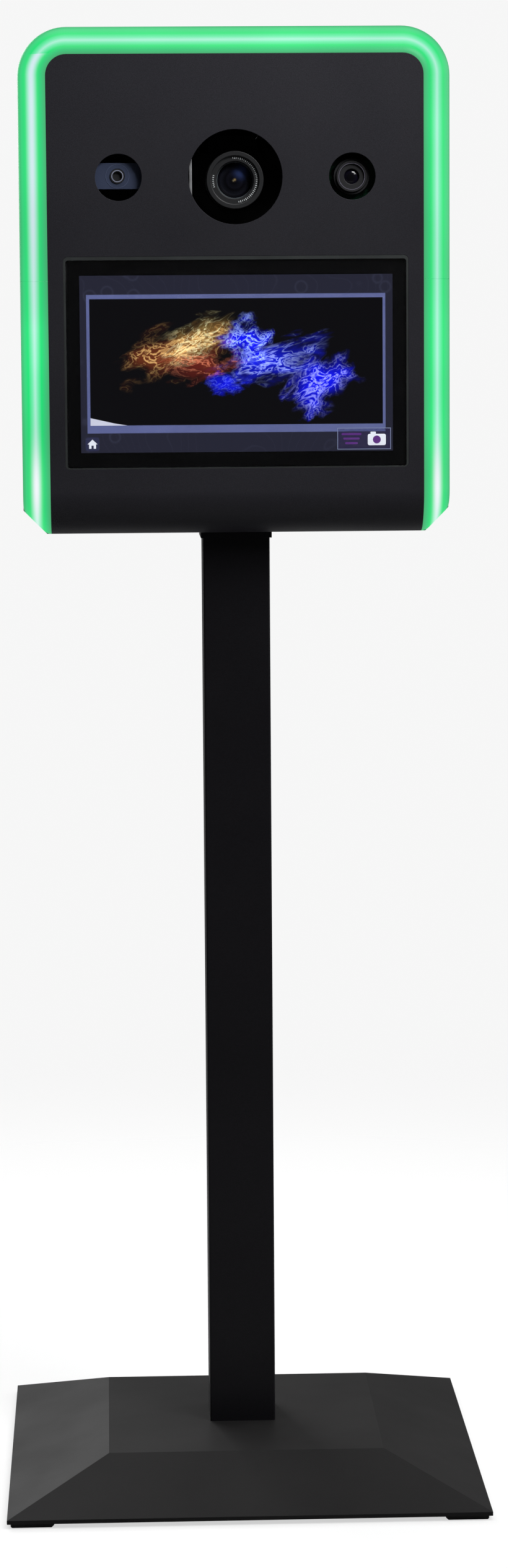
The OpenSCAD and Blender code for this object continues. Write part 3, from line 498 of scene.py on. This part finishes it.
def cloud(tree, place, centre, spread, lean_angle, seed, tear=2.16):
    """A wispy flame: an ellipse torn up by swirling noise, made of thin bright folds."""
    local = vectors(tree, "SUBTRACT", place, (centre[0], 0, centre[1]))
    turned = wire(tree, "Mapping", {"Vector": local, "Rotation": (0, lean_angle, 0)}).outputs[0]
    turned = vectors(tree, "MULTIPLY", turned, (1 / spread[0], 0, 1 / spread[1]))
    swirl = wire(tree, "TexNoise", {"Vector": turned, "W": seed, "Scale": 1.3, "Detail": 3.0,
                 "Roughness": 0.5, "Distortion": 0.6}, noise_dimensions="4D")
    push = scaled(tree, vectors(tree, "SUBTRACT", swirl.outputs["Color"], (0.5, 0.5, 0.5)), tear)
    torn = vectors(tree, "ADD", turned, push)
    away = length_of(tree, vectors(tree, "MULTIPLY", torn, (1, 0, 1)))
    body = wire(tree, "MapRange", {0: away, 1: 1.0, 2: 0.1, 3: 0.0, 4: 1.0},
                interpolation_type="SMOOTHSTEP").outputs[0]
    folds = wire(tree, "TexNoise", {"Vector": torn, "W": seed + 3, "Scale": 2.2, "Detail": 4.0,
                 "Roughness": 0.5, "Distortion": 1.2}, noise_dimensions="4D")
    ridge = math_node(tree, "ABSOLUTE", math_node(tree, "SUBTRACT", folds.outputs["Fac"], 0.5))
    thread = wire(tree, "MapRange", {0: ridge, 1: 0.075, 2: 0.0, 3: 0.0, 4: 1.0}).outputs[0]
    thread = math_node(tree, "POWER", thread, 2.0)
    return body, math_node(tree, "MULTIPLY", body, thread, clamp=True)


def lay_over(tree, under, share, strength, colour):
    """Adds a patch of light of one colour."""
    light = scaled(tree, colour, math_node(tree, "MULTIPLY", share, strength))
    return vectors(tree, "ADD", under, light)


page, tree = fresh_tree("screen_page")
place = vectors(tree, "SUBTRACT", object_place(tree), tuple(view_mid))
shade = (0.0042, 0.0040, 0.0052)
# centre, spread, tilt, seed, the body's weight and colour, and the threads' weight and colour
flames = (((-0.072, 0.012), (0.075, 0.036), 0.25, 2.0, 0.16, (0.80, 0.16, 0.04), 0.75, (1.0, 0.62, 0.22)),
          ((-0.050, 0.022), (0.050, 0.022), 0.45, 5.0, 0.30, (0.55, 0.34, 0.08), 0.8, (0.95, 0.95, 0.55)),
          ((-0.045, 0.000), (0.048, 0.020), 0.10, 7.5, 0.22, (0.60, 0.06, 0.03), 0.6, (0.95, 0.30, 0.16)),
          ((0.012, 0.026), (0.032, 0.028), 0.30, 3.0, 1.00, (0.003, 0.006, 1.0), 1.0, (0.60, 0.82, 1.0)),
          ((0.045, 0.002), (0.074, 0.028), 0.22, 11.0, 0.80, (0.004, 0.012, 0.85), 0.9, (0.50, 0.62, 1.0)),
          ((0.092, -0.020), (0.048, 0.032), 0.55, 19.0, 0.95, (0.003, 0.006, 0.95), 0.9, (0.52, 0.56, 1.0)),
          ((-0.010, -0.020), (0.024, 0.014), 0.10, 23.0, 0.90, (0.002, 0.006, 0.85), 0.35, (0.25, 0.35, 1.0)))
for centre, spread, tilt, seed, weight, colour, shine, bright in flames:
    body, threads = cloud(tree, place, centre, spread, tilt, seed)
    shade = lay_over(tree, shade, body, weight, colour)
    shade = lay_over(tree, shade, threads, shine, bright)
spots = wire(tree, "SeparateXYZ", {0: place})
picture_half = (view_width / 2 - 0.0105, 0.0705)
picture_rise = 0.0005
inner_x = math_node(tree, "LESS_THAN", math_node(tree, "ABSOLUTE", spots.outputs[0]), picture_half[0])
off_middle = math_node(tree, "ABSOLUTE", math_node(tree, "SUBTRACT", spots.outputs[2], picture_rise))
inner_z = math_node(tree, "LESS_THAN", off_middle, picture_half[1])
inner = math_node(tree, "MULTIPLY", inner_x, inner_z)
rings = wire(tree, "TexVoronoi", {"Vector": place, "Scale": 34.0}, feature="F1")
outline = bell(tree, rings.outputs["Distance"], 0.22, 0.035)
lines = wire(tree, "TexWave", {"Vector": place, "Scale": 9.0, "Distortion": 26.0, "Detail": 1.5})
waves = math_node(tree, "MULTIPLY", bell(tree, lines.outputs["Fac"], 0.5, 0.05), 0.25)
doodle = math_node(tree, "ADD", math_node(tree, "MULTIPLY", outline, 0.5), waves, clamp=True)
margin = mix_colour(tree, math_node(tree, "MULTIPLY", doodle, 0.5),
                    (0.020, 0.0205, 0.036, 1), (0.052, 0.056, 0.098, 1))
shade = mix_colour(tree, inner, margin, shade)
coat = wire(tree, "BsdfPrincipled", {"Base Color": (0.004, 0.004, 0.005, 1), "Roughness": 0.35,
            "Emission Color": shade, "Emission Strength": 1.0})
finish_surface(tree, coat.outputs[0])
nodes["display_panel"].data.materials.clear()
nodes["display_panel"].data.materials.append(page)

# The page is drawn in three thin layers in front of the panel: keys, signs on them, marks on those.
sheet_back = view_low[1] - 0.00005
sheet_front = view_low[1] - 0.00012
sign_layer = (sheet_front - 0.00002, sheet_front - 0.0001)
mark_layer = (sheet_front - 0.00012, sheet_front - 0.0002)
border_blue = glow("border_blue", (0.105, 0.125, 0.30))
border = (view_low[0] + 0.0072, view_low[2] + 0.0214, view_high[0] - 0.0080, view_high[2] - 0.0208)
bm = bmesh.new()
frame_ring(bm, border, (border[0] + 0.0034, border[1] + 0.0085, border[2] - 0.0030, border[3] - 0.0046),
           sheet_back, sheet_front)
fit_piece("page_border", bm, border_blue, "head")


def flat_shape(bm, points, back, front):
    """Adds a thin plate with that outline of (x, z) points."""
    face = bm.faces.new([bm.verts.new((x, back, z)) for x, z in points])
    grown = bmesh.ops.extrude_face_region(bm, geom=[face])
    moved = [v for v in grown["geom"] if isinstance(v, bmesh.types.BMVert)]
    bmesh.ops.translate(bm, verts=moved, vec=(0, front - back, 0))
    bmesh.ops.recalc_face_normals(bm, faces=bm.faces)


def arc_points(x, z, radius, start=0, end=360, steps=24):
    """Points along an arc in degrees. A whole circle doesn't repeat its first point."""
    count = steps if end - start == 360 else steps + 1
    angles = [math.radians(start + (end - start) * i / steps) for i in range(count)]
    return [(x + radius * math.cos(angle), z + radius * math.sin(angle)) for angle in angles]


def rounded(x, z, width, height, radius):
    points = []
    for sx, sz, start in ((1, -1, -90), (1, 1, 0), (-1, 1, 90), (-1, -1, 180)):
        points += arc_points(x + sx * (width / 2 - radius), z + sz * (height / 2 - radius), radius,
                             start, start + 90, 5)
    return points


bm = bmesh.new()
corner_x, corner_z = border[0] + 0.0034, border[1] + 0.0085
flat_shape(bm, [(corner_x, corner_z), (corner_x + 0.0406, corner_z), (corner_x + 0.0266, corner_z + 0.0023),
                (corner_x, corner_z + 0.0083)], sheet_back, sheet_front)
fit_piece("page_wedge", bm, glow("wedge_white", (0.62, 0.64, 0.78)), "head")

key_dark = glow("key_dark", (0.020, 0.022, 0.065))
key_white = glow("key_white", (0.80, 0.83, 0.92))
home_x, home_z = view_low[0] + 0.0125, view_low[2] + 0.0095
bm = bmesh.new()
flat_shape(bm, rounded(home_x, home_z, 0.0152, 0.0152, 0.003), sheet_back, sheet_front)
fit_piece("home_key", bm, key_dark, "head")
bm = bmesh.new()
house = [(-0.0055, 0.0), (-0.0038, 0.0), (-0.0038, -0.0048), (-0.0012, -0.0048), (-0.0012, -0.0014),
         (0.0012, -0.0014), (0.0012, -0.0048), (0.0038, -0.0048), (0.0038, 0.0), (0.0055, 0.0), (0.0, 0.0052)]
flat_shape(bm, [(home_x + x, home_z + z) for x, z in house], *sign_layer)
fit_piece("home_sign", bm, key_white, "head")

snap_x, snap_z = view_high[0] - 0.0318, view_low[2] + 0.0135
bm = bmesh.new()
frame_ring(bm, (snap_x - 0.0296, snap_z - 0.0118, snap_x + 0.0296, snap_z + 0.0118),
           (snap_x - 0.0290, snap_z - 0.0112, snap_x + 0.0290, snap_z + 0.0112), *sign_layer)
fit_piece("snap_key_rim", bm, glow("rim_grey", (0.22, 0.26, 0.42)), "head")
bm = bmesh.new()
flat_shape(bm, rounded(snap_x, snap_z, 0.0585, 0.0228, 0.0004), sheet_back, sheet_front)
fit_piece("snap_key", bm, glow("key_violet", (0.016, 0.013, 0.05)), "head")
bm = bmesh.new()
flat_shape(bm, rounded(snap_x + 0.014, snap_z - 0.0012, 0.020, 0.0125, 0.002), *sign_layer)
flat_shape(bm, rounded(snap_x + 0.010, snap_z + 0.0062, 0.006, 0.0026, 0.0008), *sign_layer)
fit_piece("snap_sign", bm, key_white, "head")
bm = bmesh.new()
flat_shape(bm, arc_points(snap_x + 0.014, snap_z - 0.0012, 0.0044), *mark_layer)
for step in range(3):
    bar_z, bar_width = snap_z + 0.005 - step * 0.005, 0.022 - step * 0.004
    flat_shape(bm, rounded(snap_x - 0.014, bar_z, bar_width, 0.0022, 0.001),
               *mark_layer)
fit_piece("snap_sign_dark", bm, glow("mark_violet", (0.10, 0.02, 0.20)), "head")

# ---------------------------------------------------------------- main camera
# A still camera sits on a tilting cradle behind the middle port. Its kit lens has a rubber zoom
# ring, a plastic focus ring with a recessed front ring, and coated glass. Reflections are painted
# into the glass's colour.


def lathe(bm, profile, middle, steps=64):
    """Turns a profile of (radius, y) points about an axis along Y through the middle's x and z."""
    made = [bm.verts.new((middle[0] + radius, y, middle[2])) for radius, y in profile]
    edges = [bm.edges.new(pair) for pair in zip(made, made[1:] + made[:1])]
    bmesh.ops.spin(bm, geom=made + edges, cent=middle, axis=(0, 1, 0), dvec=(0, 0, 0), angle=2 * math.pi,
                   steps=steps, use_merge=True, use_duplicate=False)
    bmesh.ops.recalc_face_normals(bm, faces=bm.faces)


def flat_band(name, inner, outer, front, back, middle, material, body, steps=64):
    """A thin ring between two radii, from front to back, about an axis along Y."""
    bm = bmesh.new()
    lathe(bm, [(inner, front), (outer, front), (outer, back), (inner, back)], (middle.x, 0, middle.z), steps)
    fit_piece(name, bm, material, body)


def block(bm, size, middle):
    """Adds a box of that size with its middle there, and returns its corners."""
    made = bmesh.ops.create_cube(bm, size=1.0)["verts"]
    bmesh.ops.scale(bm, vec=size, verts=made)
    bmesh.ops.translate(bm, vec=middle, verts=made)
    return made


def middle_of(node):
    low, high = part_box(node)
    return Vector([(a + b) / 2 for a, b in zip(low, high)])


black_plastic = gloss("black_plastic", (0.013, 0.013, 0.015), 0.5)
lens_black = gloss("lens_black", (0.015, 0.0155, 0.017), 0.45, mottle=0.08)
dial_grey = gloss("dial_grey", (0.045, 0.046, 0.05), 0.38)
camera_skin = gloss("camera_skin", (0.011, 0.011, 0.012), 0.6)
softened("slr_body", "camera_body", 0.0016, camera_skin, "camera", 3)
softened("slr_focus_ring", "focus_grip", 0.0006, lens_black, "focus_ring")
softened("slr_lens_tube", "lens_barrel", 0.0004, lens_black, "camera")
softened("slr_mode_dial", "mode_knob", 0.0005, dial_grey, "mode_dial")
softened("slr_shutter_button", "shutter_knob", 0.0007, dial_grey, "shutter_button", 3)
cradle_metal = metal("cradle_metal", (0.72, 0.73, 0.75), 0.42)
softened("camera_cradle", "cradle_plate", 0.0004, cradle_metal, "camera")

lens_mid = middle_of("slr_focus_ring")
ring_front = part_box("slr_focus_ring")[0][1]
glass_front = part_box("slr_front_glass")[0][1]
bm = bmesh.new()
hood = [(0.0204, ring_front + 0.0058), (0.0235, ring_front + 0.0058), (0.0235, glass_front + 0.0036)]
for step in range(6):
    y = glass_front + 0.0036 - step * 0.0011
    hood += [(0.0196 + step * 0.00012, y), (0.0196 + step * 0.00012, y - 0.0007)]
lathe(bm, hood, (lens_mid.x, 0, lens_mid.z))
fit_piece("lens_light_trap", bm, black_plastic, "camera")

tick_radius = 0.0240
tick_step = 5
bm = bmesh.new()
for degrees in list(range(-80, 100, tick_step)) + list(range(168, 200, tick_step)):
    long = 0.0016 if degrees % 15 else 0.0022
    made = block(bm, (long, 0.00008, 0.0006), (tick_radius, ring_front + 0.003 - 0.00002, 0))
    bmesh.ops.rotate(bm, cent=(0, 0, 0), matrix=Matrix.Rotation(math.radians(-degrees), 3, "Y"), verts=made)
    bmesh.ops.translate(bm, vec=(lens_mid.x, 0, lens_mid.z), verts=made)
fit_piece("focus_ticks", bm, gloss("tick_white", (0.85, 0.90, 0.92), 0.5), "focus_ring")

# A thin pale ring round the glass is a painted highlight: the inner rim's edge catching the light.
flat_band("rim_highlight_ring", 0.0193, 0.0199, glass_front + 0.0002, glass_front + 0.0012, lens_mid,
          gloss("rim_highlight_grey", (0.10, 0.12, 0.13), 0.3), "camera")

# The glass's colour holds painted reflections. The light and dark rings are painted reflections of the inner
# elements' rims, and the spots below are painted glints. The purple tint at grazing angles is the coating's
# colour.
coated_glass_with_painted_reflections, tree = fresh_tree("coated_glass_with_painted_reflections")
glass_radius = 0.0196
from_axis = vectors(tree, "SUBTRACT", object_place(tree), tuple(lens_mid))
flat = vectors(tree, "MULTIPLY", from_axis, (1, 0, 1))
reach = math_node(tree, "DIVIDE", length_of(tree, flat), glass_radius)
painted_ring_reflections = wire(tree, "ValToRGB", {0: reach})
for index, (position, colour) in enumerate(((0.0, (0.010, 0.008, 0.006)), (0.16, (0.002, 0.002, 0.003)),
                                             (0.42, (0.006, 0.006, 0.010)), (0.55, (0.002, 0.002, 0.003)),
                                             (0.80, (0.010, 0.011, 0.016)), (0.9, (0.003, 0.003, 0.004)))):
    if index > 1:
        painted_ring_reflections.color_ramp.elements.new(position)
    painted_ring_reflections.color_ramp.elements[index].position = position
    painted_ring_reflections.color_ramp.elements[index].color = (*colour, 1)
facing = wire(tree, "LayerWeight", {"Blend": 0.3}).outputs["Facing"]
coating_tint_and_reflections = mix_colour(tree, facing, painted_ring_reflections.outputs[0], (0.030, 0.020, 0.090, 1))
# Painted reflections: a blue glint at the upper right and two warm spots near the middle.
for spot, spread, colour in (((0.0075, 0, 0.0095), 0.0062, (0.045, 0.075, 0.24, 1)),
                             ((0.0001, 0, 0.0006), 0.0011, (0.34, 0.24, 0.10, 1)),
                             ((-0.0015, 0, -0.0005), 0.0009, (0.24, 0.20, 0.12, 1))):
    off = vectors(tree, "MULTIPLY", vectors(tree, "SUBTRACT", from_axis, spot), (1, 0, 1))
    patch = bell(tree, length_of(tree, off), 0.0, spread)
    coating_tint_and_reflections = mix_colour(tree, patch, coating_tint_and_reflections, colour)
coat = wire(tree, "BsdfPrincipled", {"Base Color": coating_tint_and_reflections, "Roughness": 0.12, "Specular IOR Level": 0.3,
            "Coat Weight": 0.2, "Coat Roughness": 0.03})
finish_surface(tree, coat.outputs[0])
softened("slr_front_glass", "front_element", 0.0003, coated_glass_with_painted_reflections, "camera")

# ---------------------------------------------------------------- small cameras
# Behind the left port hangs a bar-shaped web camera. Behind the right port a board camera stands
# on four posts, with a broad lens barrel.
webcam_paint = gloss("webcam_paint", (0.040, 0.052, 0.095), 0.38)
softened("webcam_body", "bar_camera", 0.0016, webcam_paint, "head", 3)
bar_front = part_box("webcam_body")[0][1]
web_mid = middle_of("webcam_lens")
eye_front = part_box("webcam_lens")[0][1]
flat_band("bar_camera_ring", 0.0056, 0.0066, eye_front - 0.0003, eye_front + 0.0004, web_mid,
          gloss("ring_pale", (0.24, 0.26, 0.34), 0.3), "head", 48)
flat_band("bar_camera_circle", 0.0126, 0.0130, bar_front - 0.00025, bar_front + 0.0002, web_mid,
          gloss("circle_blue", (0.09, 0.11, 0.19), 0.35), "head", 48)

softened("side_camera_lens", "board_camera_barrel", 0.0006, black_plastic, "head")
barrel_mid = middle_of("side_camera_lens")
barrel_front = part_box("side_camera_lens")[0][1]
# A thin pale ring in front of the barrel is a painted highlight: a step edge catching the light.
flat_band("board_camera_edge_highlight", 0.0140, 0.0145, barrel_front - 0.0002, barrel_front + 0.0006, barrel_mid,
          gloss("edge_highlight_grey", (0.17, 0.16, 0.21), 0.4), "head")
board_mid = middle_of("side_camera_board")
board_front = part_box("side_camera_board")[0][1]
chip_height = 0.0016
board_green = gloss("board_green", (0.012, 0.10, 0.045), 0.35)
chip_black = gloss("chip_black", (0.010, 0.010, 0.011), 0.4)
bm = bmesh.new()
for x, z, wide, tall in ((0.0245, -0.0170, 0.009, 0.007), (0.012, -0.020, 0.012, 0.005),
                         (-0.0225, -0.006, 0.006, 0.006), (-0.022, 0.010, 0.005, 0.008),
                         (0.0248, 0.004, 0.004, 0.007)):
    block(bm, (wide, chip_height, tall), (board_mid.x + x, board_front - chip_height / 2, board_mid.z + z))
soften(bm, 0.0002, 1)
fit_piece("board_chips", bm, chip_black, "head")

# ---------------------------------------------------------------- rear door
# The door is one steel sheet with vent slots, on two lift-off hinges, held by a quarter-turn
# latch. A cooling fan with a wire guard is screwed to it, and the fan and the vents have filters.
softened("rear_door", "back_door", 0.0006, case_rear, "door", 2, 60)
softened("door_hinges_fixed", "hinge_leaves_fixed", 0.0004, screw_steel, "head")
softened("door_hinges_moving", "hinge_leaves_moving", 0.0004, screw_steel, "door")
softened("door_hinge_pins", "hinge_pins", 0.0004, zinc, "head")
softened("door_latch", "turn_latch", 0.0008, black_plastic, "latch", 3)
softened("fan_frame", "fan_housing", 0.0007, black_plastic, "door")
softened("fan_rotor", "fan_blades", 0.0004, black_plastic, "rotor")
filter_cloth, tree = fresh_tree("filter_cloth")
weave = wire(tree, "Mapping", {"Vector": object_place(tree), "Scale": (1400, 1400, 1400)})
warp = wire(tree, "TexWave", {"Vector": weave.outputs[0], "Scale": 0.5}, bands_direction="X")
weft = wire(tree, "TexWave", {"Vector": weave.outputs[0], "Scale": 0.5}, bands_direction="Z")
mesh_height = math_node(tree, "MAXIMUM", warp.outputs["Fac"], weft.outputs["Fac"])
bump = wire(tree, "Bump", {"Strength": 0.6, "Distance": 0.0004, "Height": mesh_height})
shade = mix_colour(tree, mesh_height, (0.002, 0.002, 0.002, 1), (0.016, 0.016, 0.017, 1))
coat = wire(tree, "BsdfPrincipled", {"Base Color": shade, "Roughness": 0.8, "Normal": bump.outputs[0]})
finish_surface(tree, coat.outputs[0])
door_low, door_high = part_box("rear_door")
fan_mid = middle_of("fan_rotor")
bm = bmesh.new()
bmesh.ops.create_cone(bm, cap_ends=True, segments=64, radius1=0.0369, radius2=0.0369, depth=0.0008)
bmesh.ops.rotate(bm, cent=(0, 0, 0), matrix=Matrix.Rotation(math.pi / 2, 3, "X"), verts=bm.verts)
bmesh.ops.translate(bm, vec=(fan_mid.x, (door_low[1] + door_high[1]) / 2, fan_mid.z), verts=bm.verts)
soften(bm, 0.0002, 1)
fit_piece("fan_dust_filter", bm, filter_cloth, "door")

vent_x = 0.062
vent_rise = 0.104
vent_pad = (0.092, 0.0008, 0.126)
bm = bmesh.new()
for side in (-1, 1):
    block(bm, vent_pad, (side * vent_x, door_low[1] - 0.0006, door_low[2] + vent_rise))
soften(bm, 0.0002, 1)
fit_piece("vent_dust_filters", bm, filter_cloth, "door")
screws_on("fan_fixings", "fan_screws", (0, 1, 0), 0.0046, 0.0022, "door")

# ---------------------------------------------------------------- clamps, power inlet and electronics
# Two hand screws clamp the socket. The power inlet and its switch sit low in the rear frame, and
# the computer, power supply and light controller stand inside.
for level in ("lower", "upper"):
    knob = "clamp_knob_" + level
    softened(knob, "hand_screw_" + level, 0.0010, black_plastic, knob, 3)
softened("power_inlet", "mains_inlet", 0.0006, black_plastic, "head")
rocker_red = gloss("rocker_red", (0.30, 0.015, 0.015), 0.3)
softened("power_rocker", "mains_rocker", 0.0006, rocker_red, "rocker")
inlet_mid = middle_of("power_inlet")
frame_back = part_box("rear_frame")[1][1]
socket_half_width, socket_half_height = 0.0079, 0.0044
socket_wall = 0.0012
bm = bmesh.new()
for socket_x in (0.110, 0.140):
    around = (socket_x - socket_half_width, inlet_mid.z - socket_half_height,
              socket_x + socket_half_width, inlet_mid.z + socket_half_height)
    mouth = (around[0] + socket_wall, around[1] + socket_wall,
             around[2] - socket_wall, around[3] - socket_wall)
    frame_ring(bm, around, mouth, frame_back + 0.0004, frame_back - 0.012)
    block(bm, (0.0108, 0.009, 0.0016), (socket_x, frame_back - 0.0065, inlet_mid.z))  # tongue
    block(bm, (0.0156, 0.001, 0.0086), (socket_x, frame_back - 0.0118, inlet_mid.z))  # rear wall
bmesh.ops.recalc_face_normals(bm, faces=bm.faces)
fit_piece("panel_sockets", bm, black_plastic, "head")
computer_grey = gloss("computer_grey", (0.030, 0.032, 0.036), 0.45)
softened("mini_computer", "computer_case", 0.0025, computer_grey, "head", 3)
softened("power_supply", "supply_case", 0.0010, bare_aluminium, "head")
dimmer_white = gloss("dimmer_white", (0.70, 0.70, 0.67), 0.45)
softened("light_controller", "dimmer_case", 0.0015, dimmer_white, "head", 3)
softened("chassis", "inner_chassis", 0.0005, zinc, "head")
softened("monitor_case", "panel_case", 0.0012, bare_aluminium, "head")

# ---------------------------------------------------------------- parts that keep the CAD shape
# Flanges, sleeves, brackets, strips and the like keep their own mesh and take their slot's finish.
slots = {
    "black_powder_coat": case_black, "foot_powder_coat": foot_black, "light_diffuser": lit_green,
    "black_plastic": black_plastic, "lens_glass": coated_glass_with_painted_reflections, "rubber_black": pad_rubber,
    "zinc_steel": zinc, "raw_aluminium": bare_aluminium, "circuit_green": board_green,
    "webcam_blue_grey": webcam_paint, "strip_white": gloss("strip_white", (0.72, 0.76, 0.72), 0.4),
    "display_face": page, "cover_glass": clear_glass, "rocker_red": black_plastic,
}
finishes = {"screen_bezel": rim_satin_and_painted_highlight, "webcam_lens": black_plastic, "fan_guard": screw_steel}
for entry in frame["record"]["subparts"]:
    if entry["node"] != "display_panel":
        mesh = nodes[entry["node"]].data
        mesh.materials.clear()
        mesh.materials.append(finishes.get(entry["node"], slots[entry["material_slot"]]))
